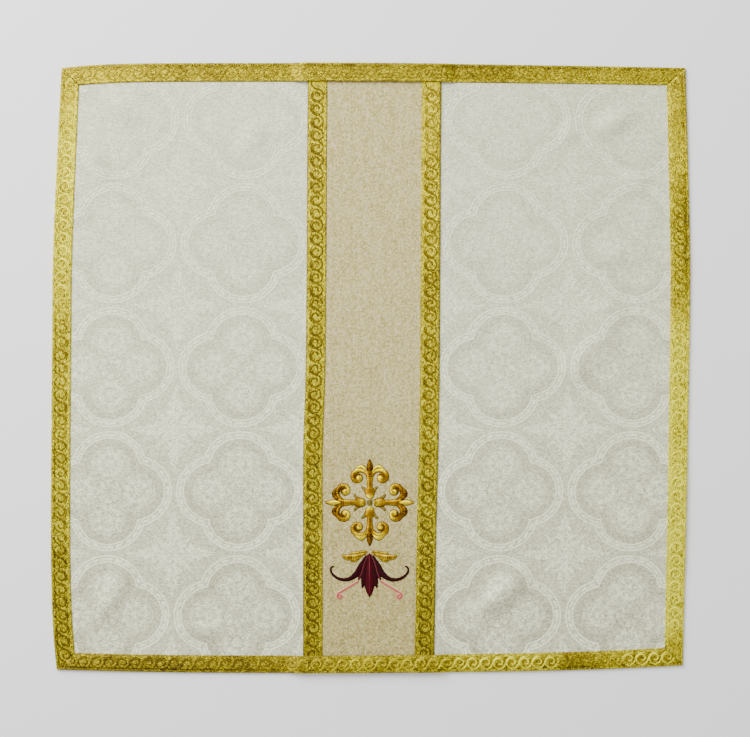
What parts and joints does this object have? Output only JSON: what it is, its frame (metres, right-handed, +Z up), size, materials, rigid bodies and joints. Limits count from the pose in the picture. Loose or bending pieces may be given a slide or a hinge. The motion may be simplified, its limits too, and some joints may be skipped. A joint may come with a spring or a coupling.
{
  "type": "chalice veil",
  "caption": "Near-square damask cloth edged with gold braid, with a braided centre column carrying an embroidered cross and flower; covers a chalice.",
  "frame": {"origin": "centre of the veil's outline, on the table that it lies on", "axes": "+Z up out of the face, +Y towards the head of the veil, +X to the right seen from above"},
  "size_m": [0.5484, 0.523, 0.0052],
  "materials": {
    "damask": "pale ivory damask with a tone-on-tone quatrefoil repeat, soft silk sheen",
    "gold_cloth": "fine ribbed cloth of pale gold and white threads",
    "galloon": "woven metallic gold braid with running scrolls between dotted selvedges",
    "gold_thread": "satin-stitched shiny gold thread, shaded from pale to brown gold",
    "dark_gold_thread": "satin-stitched dark olive gold thread",
    "crimson_thread": "satin-stitched dark crimson thread with rose veins",
    "dark_red_thread": "satin-stitched near-black red thread",
    "rose_thread": "stitched rose thread with a darker middle"
  },
  "bodies": {
    "root": {"ground_damask": "damask", "orphrey_cloth": "gold_cloth", "column_braid_left": "galloon", "column_braid_right": "galloon", "border_braid_top": "galloon", "border_braid_right": "galloon", "border_braid_bottom": "galloon", "border_braid_left": "galloon", "cross_arm_up": "gold_thread", "cross_arm_left": "gold_thread", "cross_arm_down": "gold_thread", "cross_arm_right": "gold_thread", "cross_boss": "dark_gold_thread", "flower_bell": "crimson_thread", "flower_petal_left": "dark_red_thread", "flower_petal_right": "dark_red_thread", "flower_leaf_left": "gold_thread", "flower_leaf_right": "gold_thread", "flower_stamen_left": "rose_thread", "flower_stamen_right": "rose_thread"}
  },
  "joints": []
}
